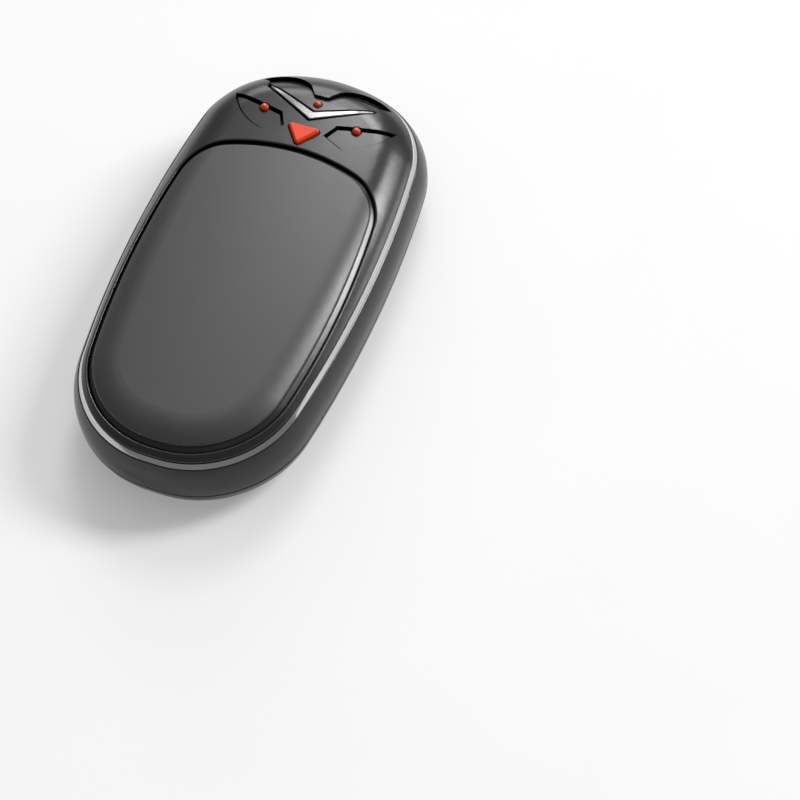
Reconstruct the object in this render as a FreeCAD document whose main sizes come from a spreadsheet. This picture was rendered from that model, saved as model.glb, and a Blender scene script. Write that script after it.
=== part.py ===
import FreeCAD, Part
import math
import os
import re

import Sketcher

# Rechargeable hand warmer: a flat oval case that rests on its back, warming plate up.
# Origin at the middle of the back, +Y towards the head with the button, +Z up, millimetres.

doc = FreeCAD.newDocument("hand_warmer")

# Driving dimensions: name, size, meaning
driving_sizes = [
    ("case_length", 100.0, "case, head to tail"),
    ("case_width", 53.4, "case at its widest"),
    ("case_height", 20.0, "back to the crown of the warming face"),
    ("case_head_arc", 34.0, "outline radius at the head"),
    ("case_shoulder_arc", 20.0, "outline radius of the head's corners"),
    ("case_side_arc", 5.0, "bow of the sides over half the case's length"),
    ("case_side_centre", 5.0, "where the case is widest, from the middle"),
    ("case_hip_arc", 23.0, "outline radius of the tail's corners"),
    ("case_tail_arc", 51.0, "outline radius at the tail"),
    ("top_round", 11.3, "roll of the front edge"),
    ("bottom_round", 7.0, "roll of the back edge, where the wall leaves room for it"),
    ("crown_long", 900.0, "crown of the face, head to tail"),
    ("crown_cross", 220.0, "crown of the face, side to side"),
    ("wall", 1.8, "wall of the shells"),
    ("rear_height", 6.5, "back to the rear cover's parting line"),
    ("mid_top", 13.7, "back to the top rim of the middle case"),
    ("trim_height", 0.9, "bright trim ring"),
    ("trim_inset", 0.15, "trim ring behind the case surface"),
    ("parting_round", 0.3, "rounded edge at each parting line"),
    ("fit_gap", 0.15, "clearance of nested shells"),
    ("rim_inset", 3.5, "bore of the trim ring and of the middle case's rim, inside the case outline"),
    ("spigot_depth", 1.2, "front frame's spigot below the middle case's rim"),
    ("lip_thickness", 1.0, "locating lip of the rear cover"),
    ("rear_lip_height", 2.4, "rear cover's lip above its parting line"),
    ("rear_lip_inset", 0.7, "rear cover's lip inside the wall"),
    ("hook_width", 8.0, "snap hooks of the rear cover"),
    ("hook_height", 0.9, "snap hooks of the rear cover"),
    ("hook_bite", 0.8, "how far a hook reaches into the wall"),
    ("hook_spacing", 40.0, "between the hooks of one side"),
    ("hook_gap", 0.2, "room round a hook in its pocket"),
    ("frame_wall", 3.0, "top wall of the front frame"),
    ("plate_width", 42.4, "warming plate at its widest"),
    ("plate_head_arc", 42.0, "outline radius at the plate's head edge"),
    ("plate_shoulder_arc", 10.5, "outline radius of the plate's head corners"),
    ("plate_side_arc", 80.0, "outline radius of the plate's sides, less than the case's by this"),
    ("plate_side_centre", -4.0, "where the plate is widest, from the middle"),
    ("plate_hip_arc", 18.5, "outline radius of the plate's tail corners"),
    ("plate_tail_arc", 32.0, "outline radius at the plate's tail edge"),
    ("plate_thickness", 0.65, "warming plate"),
    ("plate_sink", 0.1, "plate below the frame's surface"),
    ("plate_gap", 1.0, "groove round the plate"),
    ("plate_round", 0.45, "rounded edge of the plate"),
    ("frame_lip_round", 0.35, "rounded edge of the frame at the groove"),
    ("adhesive_thickness", 0.15, "adhesive ring under the plate"),
    ("seat_width", 4.2, "ledge that carries the plate"),
    ("film_thickness", 0.3, "heater film"),
    ("film_gap", 0.4, "heater film to the adhesive ring"),
    ("relief_depth", 0.45, "eye fields below the surface"),
    ("groove_depth", 1.4, "lid grooves and brow channel below the surface"),
    ("lid_line", 0.4, "width of the line round an eye field"),
    ("lid_line_depth", 0.45, "line round an eye field, below the field"),
    ("brow_bar", 3.4, "brow channel on the centre line"),
    ("brow_reach", 12.2, "centre line to the brow's upper tips"),
    ("brow_low_reach", 11.9, "centre line to the brow's lower tips"),
    ("brow_tilt", 4.0, "brow and forehead tipped down towards the head, degrees"),
    ("inlay_gap", 0.6, "brow inlay to its channel"),
    ("inlay_sink", 0.05, "brow inlay below the surface"),
    ("inlay_round", 0.2, "rounded edge of the brow inlay"),
    ("forehead_depth", 0.35, "forehead below the surface at the brow"),
    ("forehead_notch", 1.5, "half width of the crest tab"),
    ("forehead_shoulder", 3.1, "half width of the crest tab at its root"),
    ("forehead_reach", 14.4, "centre line to the ends of the forehead"),
    ("forehead_arc", 8.6, "radius of the hood line"),
    ("eye_inner_x", 4.3, "eye field, inner corner"),
    ("eye_brow_x", 6.0, "eye field, upper corner"),
    ("eye_tip_x", 17.8, "eye field, outer tip"),
    ("eye_low_x", 8.7, "eye field, lower corner"),
    ("eye_lower_arc", 13.5, "radius of the lower lid"),
    ("lid_groove", 0.75, "width of the upper lid's groove"),
    ("lens_radius", 0.9, "side indicator lenses"),
    ("centre_lens_radius", 0.75, "centre indicator lens"),
    ("lens_gap", 0.25, "indicator lens to its hole"),
    ("lens_rise", 0.55, "side indicator lenses above the surface"),
    ("centre_lens_rise", 0.3, "centre indicator lens above the surface"),
    ("lens_collar", 0.9, "collar of a lens outside its stem"),
    ("lens_collar_height", 0.6, "collar of a lens"),
    ("side_lens_x", 10.1, "centre line to the side indicators"),
    ("button_half", 3.8, "half width of the button's base"),
    ("button_corner", 0.55, "rounded corners of the button"),
    ("button_bevel", 0.4, "bevelled rim of the button's top"),
    ("button_rise", 0.9, "button above the surface"),
    ("button_gap", 0.3, "button to its hole"),
    ("button_flange", 0.8, "retaining flange outside the button"),
    ("button_flange_height", 0.8, "retaining flange of the button"),
    ("button_travel", 0.5, "stroke of the button"),
    ("seat_gap", 0.2, "loose pieces under the frame's top wall"),
    ("switch_side", 4.6, "switch body"),
    ("switch_height", 1.6, "switch body"),
    ("switch_floor", 0.4, "bottom of the switch body"),
    ("plunger_radius", 1.2, "switch plunger"),
    ("plunger_gap", 0.1, "switch plunger to its bore"),
    ("board_top", 13.1, "back to the upper face of the control board"),
    ("board_thickness", 1.2, "control board"),
    ("board_inset", 5.4, "control board inside the case outline"),
    ("led_length", 1.6, "indicator light chip"),
    ("led_width", 0.9, "indicator light chip"),
    ("led_height", 0.7, "indicator light chip"),
    ("socket_width", 8.94, "charge socket shell"),
    ("socket_height", 3.26, "charge socket shell"),
    ("socket_length", 7.35, "charge socket shell"),
    ("socket_wall", 0.3, "charge socket shell"),
    ("socket_back", 0.8, "back of the charge socket shell"),
    ("socket_sink", 1.5, "charge socket mouth behind the head end"),
    ("socket_gap", 0.25, "charge socket to its slot in the wall"),
    ("tongue_width", 6.7, "contact tongue of the socket"),
    ("tongue_thickness", 0.7, "contact tongue of the socket"),
    ("tongue_length", 4.6, "contact tongue of the socket"),
    ("chip_side", 5.0, "control chip"),
    ("chip_height", 0.9, "control chip"),
    ("chip_x", -9.0, "centre line to the control chip"),
    ("coil_side", 6.2, "power inductor"),
    ("coil_height", 2.8, "power inductor"),
    ("coil_x", 9.0, "centre line to the power inductor"),
    ("part_corner", 0.8, "rounded corners of board parts"),
    ("capacitor_length", 3.2, "ceramic capacitors"),
    ("capacitor_width", 1.6, "ceramic capacitors"),
    ("capacitor_height", 1.4, "ceramic capacitors"),
    ("capacitor_spacing", 2.6, "between the ceramic capacitors"),
    ("battery_width", 38.0, "pouch cell"),
    ("battery_length", 50.0, "pouch cell without its sealed end"),
    ("battery_thickness", 8.6, "pouch cell"),
    ("battery_round", 2.4, "rounded edges of the pouch cell"),
    ("battery_end", 15.6, "middle to the cell's head end"),
    ("battery_terrace", 2.0, "sealed end of the pouch cell"),
    ("battery_terrace_height", 1.0, "sealed end of the pouch cell"),
    ("battery_terrace_rise", 0.4, "sealed end above the cell's underside"),
    ("battery_pad_thickness", 0.6, "foam pad under the cell"),
    ("battery_pad_inset", 4.0, "foam pad inside the cell's edge"),
    ("rib_thickness", 1.0, "cradle ribs beside the cell"),
    ("rib_height", 3.0, "cradle ribs beside the cell"),
    ("rib_length", 34.0, "cradle ribs beside the cell"),
    ("rib_gap", 0.3, "cradle rib to the cell"),
    ("guard_width", 26.0, "protection board of the cell"),
    ("guard_thickness", 0.9, "protection board of the cell"),
    ("guard_height", 5.0, "protection board of the cell"),
    ("guard_gap", 0.1, "protection board to the cell's end"),
    ("sheet_thickness", 1.0, "insulation sheet on the cell"),
    ("sheet_inset", 1.0, "insulation sheet inside the cell's edge"),
    ("foam_inset", 1.0, "pressure foam inside the heater film"),
    ("foam_end", 13.8, "middle to the pressure foam's head end"),
    ("thermistor_width", 3.0, "temperature sensor"),
    ("thermistor_length", 2.4, "temperature sensor"),
    ("thermistor_height", 1.2, "temperature sensor"),
    ("lead_radius", 0.6, "insulated leads"),
    ("lead_bend", 2.0, "bend radius of the leads"),
    ("battery_lead_x", 6.0, "centre line to a battery lead"),
    ("battery_lead_z", 7.0, "back to a battery lead where it leaves the cell"),
    ("heater_lead_x", 8.0, "centre line to a heater lead"),
    ("heater_lead_stub", 0.3, "straight end of a heater lead at the board"),
    ("screw_radius", 1.0, "case screws"),
    ("screw_head_radius", 1.9, "case screws"),
    ("screw_head_height", 1.2, "case screws"),
    ("screw_length", 5.4, "case screws below the head"),
    ("pilot_gap", 0.05, "screw to its pilot hole"),
    ("lug_radius", 3.0, "screw lugs of the middle case"),
    ("lug_thickness", 2.2, "screw lugs of the middle case"),
    ("lug_top", 11.4, "back to the top of the screw lugs"),
    ("lug_hole_gap", 0.2, "screw to its hole in the lug"),
    ("post_radius", 2.2, "screw posts of the front frame"),
    ("head_screw_edge", 7.4, "head screws inside the case's side"),
    ("tail_screw_x", 9.5, "centre line to the tail screws"),
    ("tail_screw_edge", 8.8, "tail screws inside the tail end"),
    ("board_screw_radius", 0.8, "board screws"),
    ("board_screw_head_radius", 1.5, "board screws"),
    ("board_screw_head_height", 0.9, "board screws"),
    ("board_screw_length", 4.0, "board screws below the head"),
    ("board_post_radius", 1.8, "board posts of the front frame"),
    ("board_screw_x", 15.0, "centre line to the lower board screws"),
    ("board_screw_upper_x", 10.0, "centre line to the upper board screws"),
]

# Places along the case, each measured from the nearer end so that it moves with it: name, size, meaning
end_places = [
    ("plate_top", 25.7, "head end to the plate's head edge"),
    ("plate_bottom", 5.0, "tail end to the plate's tail edge"),
    ("brow_apex", 17.5, "head end to the lower point of the brow"),
    ("brow_tip", 8.8, "head end to the brow's upper tips"),
    ("brow_low_tip", 10.9, "head end to the brow's lower tips"),
    ("forehead_notch_y", 10.2, "head end to the crest tab's end"),
    ("forehead_shoulder_y", 7.8, "head end to the crest tab's root"),
    ("forehead_end_y", 7.6, "head end to the ends of the forehead"),
    ("eye_inner_y", 20.0, "head end to the eye field's inner corner"),
    ("eye_brow_y", 16.6, "head end to the eye field's upper corner"),
    ("eye_tip_y", 13.7, "head end to the eye field's outer tip"),
    ("eye_low_y", 22.1, "head end to the eye field's lower corner"),
    ("side_lens_y", 16.5, "head end to the side indicators"),
    ("centre_lens_y", 12.3, "head end to the centre indicator"),
    ("button_base_y", 19.2, "head end to the button's base"),
    ("button_apex_y", 24.15, "head end to the button's point"),
    ("board_start", 26.4, "head end to the control board's straight edge"),
    ("board_end", 5.4, "head end to the control board's head edge"),
    ("chip_y", 16.0, "head end to the control chip"),
    ("coil_y", 16.0, "head end to the power inductor"),
    ("capacitor_y", 11.8, "head end to the row of capacitors"),
    ("thermistor_y", 33.4, "head end to the temperature sensor"),
    ("battery_lead_y", 22.0, "head end to a battery lead at the board"),
    ("heater_lead_start", 32.6, "head end to a heater lead at the film"),
    ("heater_lead_y", 23.0, "head end to a heater lead at the board"),
    ("head_screw_y", 29.7, "head end to the head screws"),
    ("board_screw_y", 23.0, "head end to the lower board screws"),
    ("board_screw_upper_y", 10.4, "head end to the upper board screws"),
]

sheet = doc.addObject("Spreadsheet::Sheet", "dims")
for row, (alias, size, meaning) in enumerate(driving_sizes + end_places, start=1):
    sheet.set("A%d" % row, meaning)
    sheet.set("B%d" % row, str(size))
    sheet.setAlias("B%d" % row, alias)
doc.recompute()
aliases = {alias for alias, size, meaning in driving_sizes}
end_aliases = {alias for alias, size, meaning in end_places}

# Heights and places worked out from the driving dimensions
trim_top = "(mid_top + trim_height)"
seat_depth = "(plate_sink + plate_thickness + adhesive_thickness)"
film_depth = "(plate_sink + plate_thickness)"
foam_depth = "(plate_sink + plate_thickness + film_thickness)"
board_bottom = "(board_top - board_thickness)"
socket_centre = "(board_top - board_thickness - socket_height / 2)"
socket_mouth = "(case_length / 2 - socket_sink)"
battery_bottom = "(wall + battery_pad_thickness)"
battery_top = "(wall + battery_pad_thickness + battery_thickness)"
battery_middle = "(battery_end - battery_length / 2)"
sheet_top = "(wall + battery_pad_thickness + battery_thickness + sheet_thickness)"
above_case = "(case_height + button_rise + 1)"
head_screw_x = "(case_width / 2 - head_screw_edge)"
tail_screw_y = "(tail_screw_edge - case_length / 2)"
lug_bottom = "(lug_top - lug_thickness)"
case_screw_places = ((head_screw_x, "head_screw_y"), ("tail_screw_x", tail_screw_y))
board_screw_places = (("board_screw_x", "board_screw_y"), ("board_screw_upper_x", "board_screw_upper_y"))
case_side_radius = "(case_length^2 / (8 * case_side_arc))"
plate_side_radius = "(%s - plate_side_arc)" % case_side_radius
button_centre = "((2 * button_base_y + button_apex_y) / 3)"

vector = FreeCAD.Vector
plan_normal = vector(0, 0, 1)
touching = 1e-4
nodes = []


def linked(formula):
    """Writes the sheet's name before every driving dimension; a place at an end becomes one from the middle."""
    def written(word):
        name = word.group()
        if name in end_aliases:
            return "(dims.case_length / 2 - dims.%s)" % name
        return "dims." + name if name in aliases else name

    return re.sub(r"[a-z]\w*", written, formula)


def bind(item, formulas):
    for name, formula in formulas.items():
        item.setExpression(name, linked(formula))


def number(formula):
    return float(sheet.evalExpression(linked(formula)))


def crown_height(x, y, drop="0"):
    """Height of the crowned face at a place, lowered by drop."""
    return "(case_height - (%s) - (%s)^2 / (2 * crown_cross) - (%s)^2 / (2 * crown_long))" % (drop, x, y)


def publish(item, name):
    item.Label = name
    nodes.append(item)
    return item


# Sketches

def plane(body, role):
    return next(feature for feature in body.Origin.OriginFeatures if feature.Role == role)


def new_sketch(body, name, role="XY_Plane", offset="0"):
    sketch = body.newObject("Sketcher::SketchObject", name)
    sketch.AttachmentSupport = [(plane(body, role), "")]
    sketch.MapMode = "FlatFace"
    bind(sketch, {"AttachmentOffset.Base.z": offset})
    return sketch


def flat_sketch(name):
    return doc.addObject("Sketcher::SketchObject", name)


def dimension(sketch, kind, places, formula):
    """Adds one dimension whose size follows a formula."""
    index = sketch.addConstraint(Sketcher.Constraint(kind, *places, number(formula)))
    label = "Size%d" % index
    sketch.renameConstraint(index, label)
    bind(sketch, {"Constraints." + label: formula})


def place_point(sketch, geometry, vertex, x, y):
    """Holds one point of a sketch at a place measured from the sketch's origin."""
    for kind, formula, axis in (("DistanceX", x, -2), ("DistanceY", y, -1)):
        if formula == "0":
            sketch.addConstraint(Sketcher.Constraint("PointOnObject", geometry, vertex, axis))
        else:
            dimension(sketch, kind, (-1, 1, geometry, vertex), formula)


def circle_crossing(first, first_radius, second, second_radius, side):
    """Where two circles cross, on the right-hand side, towards the head or the tail."""
    gap = second - first
    along = (first_radius ** 2 - second_radius ** 2 + gap.Length ** 2) / (2 * gap.Length)
    across = math.sqrt(first_radius ** 2 - along ** 2)
    unit = vector(gap).normalize()
    turned = vector(-unit.y, unit.x, 0)
    crossings = [first + unit * along + turned * across, first + unit * along - turned * across]
    return max(crossings, key=lambda point: point.x + side * point.y)


def draw_oval(sketch, name, top, bottom, side_radius, inset):
    """Eight tangent arcs round an egg-shaped outline; an inset keeps the centres and shortens the radii."""
    head, shoulder, hip, tail = [
        "(%s_%s_arc - (%s))" % (name, place, inset) for place in ("head", "shoulder", "hip", "tail")]
    side = "(%s - (%s))" % (side_radius, inset)
    head_y = "(%s) - %s_head_arc" % (top, name)
    tail_y = "%s_tail_arc - (%s)" % (name, bottom)
    side_x = "%s_width / 2 - %s" % (name, side_radius)
    side_y = "%s_side_centre" % name
    head_centre = vector(0, number(head_y), 0)
    tail_centre = vector(0, number(tail_y), 0)
    side_centre = vector(number(side_x), number(side_y), 0)
    shoulder_centre = circle_crossing(head_centre, number(head) - number(shoulder),
                                      side_centre, number(side) - number(shoulder), 1)
    hip_centre = circle_crossing(tail_centre, number(tail) - number(hip),
                                 side_centre, number(side) - number(hip), -1)

    def heading(start, end):
        return math.atan2(end.y - start.y, end.x - start.x)

    half_turn = math.pi
    head_end = heading(head_centre, shoulder_centre)
    side_end = heading(side_centre, shoulder_centre)
    side_start = heading(side_centre, hip_centre)
    tail_end = heading(tail_centre, hip_centre)
    mirrored = [vector(-point.x, point.y, 0) for point in (shoulder_centre, side_centre, hip_centre)]
    runs = [
        (head_centre, head, head_end, half_turn - head_end),
        (mirrored[0], shoulder, half_turn - head_end, half_turn - side_end),
        (mirrored[1], side, half_turn - side_end, half_turn - side_start),
        (mirrored[2], hip, half_turn - side_start, half_turn - tail_end),
        (tail_centre, tail, half_turn - tail_end, 2 * half_turn + tail_end),
        (hip_centre, hip, tail_end, side_start),
        (side_centre, side, side_start, side_end),
        (shoulder_centre, shoulder, side_end, head_end),
    ]
    for centre, radius, start, end in runs:
        circle = Part.Circle(centre, plan_normal, number(radius))
        sketch.addGeometry(Part.ArcOfCircle(circle, start, end), False)
    for index in range(len(runs)):
        sketch.addConstraint(Sketcher.Constraint("Tangent", index, 2, (index + 1) % len(runs), 1))
    for middle in (0, 4):
        sketch.addConstraint(Sketcher.Constraint("PointOnObject", middle, 3, -2))
    for left, right in ((1, 7), (2, 6), (3, 5)):
        sketch.addConstraint(Sketcher.Constraint("Equal", left, right))
    sketch.addConstraint(Sketcher.Constraint("Symmetric", 2, 3, 6, 3, -2))
    for index, radius in ((0, head), (7, shoulder), (6, side), (5, hip), (4, tail)):
        dimension(sketch, "Radius", (index,), radius)
    dimension(sketch, "DistanceY", (-1, 1, 0, 3), head_y)
    dimension(sketch, "DistanceY", (-1, 1, 4, 3), tail_y)
    dimension(sketch, "DistanceX", (-1, 1, 6, 3), side_x)
    dimension(sketch, "DistanceY", (-1, 1, 6, 3), side_y)


def draw_case_oval(sketch, inset="0"):
    draw_oval(sketch, "case", "case_length / 2", "case_length / 2", case_side_radius, inset)


def draw_plate_oval(sketch, inset="0"):
    draw_oval(sketch, "plate", "plate_top", "plate_bottom", plate_side_radius, inset)


def draw_corners(sketch, corners, arcs=None):
    """A closed outline, anticlockwise; arcs gives the radius of each run that bulges outwards."""
    arcs = arcs or {}
    points = [vector(number(x), number(y), 0) for x, y in corners]
    count = len(points)
    for index, start in enumerate(points):
        end = points[(index + 1) % count]
        if index in arcs:
            radius = number(arcs[index])
            chord = end - start
            inward = vector(-chord.y, chord.x, 0).normalize()
            centre = (start + end) * 0.5 + inward * math.sqrt(radius ** 2 - chord.Length ** 2 / 4)
            first = math.atan2(start.y - centre.y, start.x - centre.x)
            last = math.atan2(end.y - centre.y, end.x - centre.x)
            run = Part.ArcOfCircle(Part.Circle(centre, plan_normal, radius), first, last)
        else:
            run = Part.LineSegment(start, end)
        sketch.addGeometry(run, False)
    for index in range(count):
        sketch.addConstraint(Sketcher.Constraint("Coincident", index, 2, (index + 1) % count, 1))
    for index, (x, y) in enumerate(corners):
        place_point(sketch, index, 1, x, y)
    for index, radius in arcs.items():
        dimension(sketch, "Radius", (index,), radius)


def draw_rectangle(sketch, width, length, x="0", y="0"):
    left, right = "(%s) - (%s) / 2" % (x, width), "(%s) + (%s) / 2" % (x, width)
    low, high = "(%s) - (%s) / 2" % (y, length), "(%s) + (%s) / 2" % (y, length)
    draw_corners(sketch, [(left, low), (right, low), (right, high), (left, high)])


def draw_stadium(sketch, width, height, centre_y):
    """A flat slot with round ends, on the sketch's vertical axis."""
    radius = "(%s) / 2" % height
    reach = "(%s) / 2 - (%s) / 2" % (width, height)
    low, high = "(%s) - (%s) / 2" % (centre_y, height), "(%s) + (%s) / 2" % (centre_y, height)
    left, right = vector(-number(reach), number(centre_y), 0), vector(number(reach), number(centre_y), 0)
    quarter = math.pi / 2
    sketch.addGeometry(Part.LineSegment(vector(left.x, number(low), 0), vector(right.x, number(low), 0)))
    sketch.addGeometry(Part.ArcOfCircle(Part.Circle(right, plan_normal, number(radius)), -quarter, quarter))
    sketch.addGeometry(Part.LineSegment(vector(right.x, number(high), 0), vector(left.x, number(high), 0)))
    sketch.addGeometry(Part.ArcOfCircle(Part.Circle(left, plan_normal, number(radius)), quarter, 3 * quarter))
    for index in range(4):
        sketch.addConstraint(Sketcher.Constraint("Tangent", index, 2, (index + 1) % 4, 1))
    place_point(sketch, 1, 3, reach, centre_y)
    sketch.addConstraint(Sketcher.Constraint("Symmetric", 1, 3, 3, 3, -2))
    dimension(sketch, "Radius", (1,), radius)


# Solids

def new_body(name):
    return doc.addObject("PartDesign::Body", name)


def pad(body, name, sketch, length, reverse=False):
    feature = body.newObject("PartDesign::Pad", name)
    feature.Profile = sketch
    feature.Reversed = reverse
    bind(feature, {"Length": length})
    doc.recompute()
    return feature


def pocket(body, name, sketch, length, reverse=False):
    before = body.Tip.Shape.Volume
    feature = body.newObject("PartDesign::Pocket", name)
    feature.Profile = sketch
    feature.Reversed = reverse
    bind(feature, {"Length": length})
    doc.recompute()
    if feature.Shape.Volume >= before:
        raise RuntimeError(name + " cuts nothing")
    return feature


def round_edges(body, name, base, chosen, radius):
    feature = body.newObject("PartDesign::Fillet", name)
    edges = ["Edge%d" % (index + 1) for index, edge in enumerate(base.Shape.Edges) if chosen(edge)]
    feature.Base = (base, edges)
    bind(feature, {"Radius": radius})
    doc.recompute()
    return feature


def slab(name, bottom, top):
    """A block wider than the case between two heights."""
    box = doc.addObject("Part::Box", name)
    bind(box, {"Length": "2 * case_width", "Width": "2 * case_length",
               "Height": "(%s) - (%s)" % (top, bottom), "Placement.Base.x": "-case_width",
               "Placement.Base.y": "-case_length", "Placement.Base.z": bottom})
    return box


def block(name, width, length, bottom, top, x, y):
    """A block centred on a place."""
    box = doc.addObject("Part::Box", name)
    bind(box, {"Length": width, "Width": length, "Height": "(%s) - (%s)" % (top, bottom),
               "Placement.Base.x": "(%s) - (%s) / 2" % (x, width),
               "Placement.Base.y": "(%s) - (%s) / 2" % (y, length), "Placement.Base.z": bottom})
    return box


def rod(name, radius, bottom, top, x, y):
    cylinder = doc.addObject("Part::Cylinder", name)
    bind(cylinder, {"Radius": radius, "Height": "(%s) - (%s)" % (top, bottom),
                    "Placement.Base.x": x, "Placement.Base.y": y, "Placement.Base.z": bottom})
    return cylinder


def prism(name, profile, height=above_case):
    """A profile on the ground drawn up to a height."""
    extrusion = doc.addObject("Part::Extrusion", name)
    extrusion.Base = profile
    extrusion.DirMode = "Normal"
    extrusion.Solid = True
    bind(extrusion, {"LengthFwd": height})
    return extrusion


def widened(name, profile, width):
    """A profile grown with sharp corners, or shrunk where width is below zero."""
    outline = doc.addObject("Part::Offset2D", name)
    outline.Source = profile
    outline.Join = 2
    bind(outline, {"Value": width})
    return outline


def cut(name, base, tool):
    result = doc.addObject("Part::Cut", name)
    result.Base = base
    result.Tool = tool
    result.Refine = False
    return result


def common(name, base, tool):
    result = doc.addObject("Part::Common", name)
    result.Base = base
    result.Tool = tool
    result.Refine = False
    return result


def fuse(name, shapes):
    result = doc.addObject("Part::MultiFuse", name)
    result.Shapes = shapes
    result.Refine = True
    return result


def group(name, shapes):
    """Identical pieces that stay separate solids."""
    result = doc.addObject("Part::Compound", name)
    result.Links = shapes
    return result


def mirrored(name, source):
    """The same piece on the other side of the centre line."""
    result = doc.addObject("Part::Mirroring", name)
    result.Source = source
    result.Base = vector(0, 0, 0)
    result.Normal = vector(1, 0, 0)
    return result


def surface_of(item):
    return item.Shape.Shells[0]


def round_where(name, base, chosen, radius):
    """Rounds the edges of a piece for which chosen is true."""
    doc.recompute()
    result = doc.addObject("Part::Fillet", name)
    result.Base = base
    result.Edges = [(index + 1, number(radius), number(radius)) for index, edge in enumerate(base.Shape.Edges)
                    if chosen(edge)]
    doc.recompute()
    return result


def round_seam(name, base, first, second, radius):
    """Rounds the edges of a piece that lie where the surfaces of two construction solids meet."""
    def on_seam(edge):
        middle = Part.Vertex(edge.valueAt((edge.FirstParameter + edge.LastParameter) / 2))
        return all(middle.distToShape(surface_of(item))[0] < touching for item in (first, second))

    return round_where(name, base, on_seam, radius)


def upright(edge):
    box = edge.BoundBox
    return box.ZLength > touching and max(box.XLength, box.YLength) < touching


def round_upright(name, base, radius):
    return round_where(name, base, upright, radius)


def four_corners(name, radius, bottom, top, upper, lower):
    """Rods at two mirrored pairs of places."""
    rods = []
    for x, y in (upper, ("-" + upper[0], upper[1]), lower, ("-" + lower[0], lower[1])):
        rods.append(rod("%s_%d" % (name, len(rods) + 1), radius, bottom, top, x, y))
    return rods


# Envelopes of the case: the outside, and the same form drawn in or lowered

def envelope(name, inset="0", drop="0", floor="0"):
    """The whole case form, inset from its outline, its face lowered by drop, its back raised to floor."""
    body = new_body(name)
    outline = new_sketch(body, name + "_outline", offset=floor)
    draw_case_oval(outline, inset)
    apex = "(case_height - (%s))" % drop
    block_pad = pad(body, name + "_block", outline, "%s - (%s)" % (apex, floor))

    # The face is the inside of a barrel form: an arc along the case, swung about a line below it
    crown = new_sketch(body, name + "_crown", "YZ_Plane")
    reach = "(0.6 * case_length)"
    rise = "(wall + case_width^2 / (8 * crown_cross))"
    arc_centre = vector(0, number(apex) - number("crown_long"), 0)
    swing = math.asin(number(reach) / number("crown_long"))
    edge_height = arc_centre.y + number("crown_long") * math.cos(swing)
    far = number(reach)
    top = number(apex) + number(rise)
    circle = Part.Circle(arc_centre, plan_normal, number("crown_long"))
    crown.addGeometry(Part.ArcOfCircle(circle, math.pi / 2 - swing, math.pi / 2 + swing))
    crown.addGeometry(Part.LineSegment(vector(-far, edge_height, 0), vector(-far, top, 0)))
    crown.addGeometry(Part.LineSegment(vector(-far, top, 0), vector(far, top, 0)))
    crown.addGeometry(Part.LineSegment(vector(far, top, 0), vector(far, edge_height, 0)))
    for index in range(4):
        crown.addConstraint(Sketcher.Constraint("Coincident", index, 2, (index + 1) % 4, 1))
    for index in (1, 3):
        crown.addConstraint(Sketcher.Constraint("Vertical", index))
    crown.addConstraint(Sketcher.Constraint("Horizontal", 2))
    place_point(crown, 0, 3, "0", apex + " - crown_long")
    dimension(crown, "Radius", (0,), "crown_long")
    dimension(crown, "DistanceX", (-1, 1, 0, 1), reach)
    dimension(crown, "DistanceX", (0, 2, -1, 1), reach)
    dimension(crown, "DistanceY", (-1, 1, 2, 1), "%s + %s" % (apex, rise))
    axis = crown.addGeometry(Part.LineSegment(vector(-far, top - number("crown_cross"), 0),
                                              vector(far, top - number("crown_cross"), 0)), True)
    crown.addConstraint(Sketcher.Constraint("Horizontal", axis))
    dimension(crown, "DistanceX", (-1, 1, axis, 2), reach)
    dimension(crown, "DistanceX", (axis, 1, -1, 1), reach)
    dimension(crown, "DistanceY", (-1, 1, axis, 1), apex + " - crown_cross")
    doc.recompute()
    crowned = body.newObject("PartDesign::Groove", name + "_crowned")
    crowned.Profile = crown
    crowned.ReferenceAxis = (crown, ["Axis0"])
    crowned.Midplane = True
    bind(crowned, {"Angle": "2 * atan(case_width / crown_cross)"})
    doc.recompute()
    if crowned.Shape.Volume >= block_pad.Shape.Volume:
        raise RuntimeError(name + " has no crown")

    edge_apex = crown_height("case_width / 2", "0", drop)
    side_height = "(%s - (%s))" % (edge_apex, floor)
    shoulder = "(top_round - (%s))" % inset
    belly = "min(bottom_round - (%s); %s - %s - parting_round)" % (inset, side_height, shoulder)
    crown_edges = {edge.hashCode() for face in crowned.Shape.Faces
                   if face.BoundBox.ZMin > number(floor) + touching and face.normalAt(0.5, 0.5).z != 0
                   and not isinstance(face.Surface, Part.Cylinder) for edge in face.OuterWire.Edges}
    rolled = round_edges(body, name + "_rolled", crowned,
                         lambda edge: edge.hashCode() in crown_edges, shoulder)
    level = number(floor)
    round_edges(body, name + "_belly", rolled,
                lambda edge: abs(edge.BoundBox.ZMax - level) < touching, belly)
    return body


outer = envelope("outer")
trim_form = envelope("trim_form", "trim_inset", "trim_inset")
cavity = envelope("cavity", "wall", "wall", "wall")
web_form = envelope("web_form", "wall / 2", "wall / 2", "wall / 2")
frame_core = envelope("frame_core", "wall", "frame_wall", "wall")
post_form = envelope("post_form", "wall", "frame_wall - parting_round", "wall")


def lowered(name, drop):
    """The outside of the case moved down as a whole, so that its face stays parallel."""
    copy = group(name, [outer])
    bind(copy, {"Placement.Base.z": "-(%s)" % drop})
    return copy


plate_face = lowered("plate_face", "plate_sink")
plate_back = lowered("plate_back", film_depth)
seat_floor = lowered("seat_floor", seat_depth)
film_back = lowered("film_back", foam_depth)
relief_floor = lowered("relief_floor", "relief_depth")
line_floor = lowered("line_floor", "relief_depth + lid_line_depth")
groove_floor = lowered("groove_floor", "groove_depth")


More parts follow.
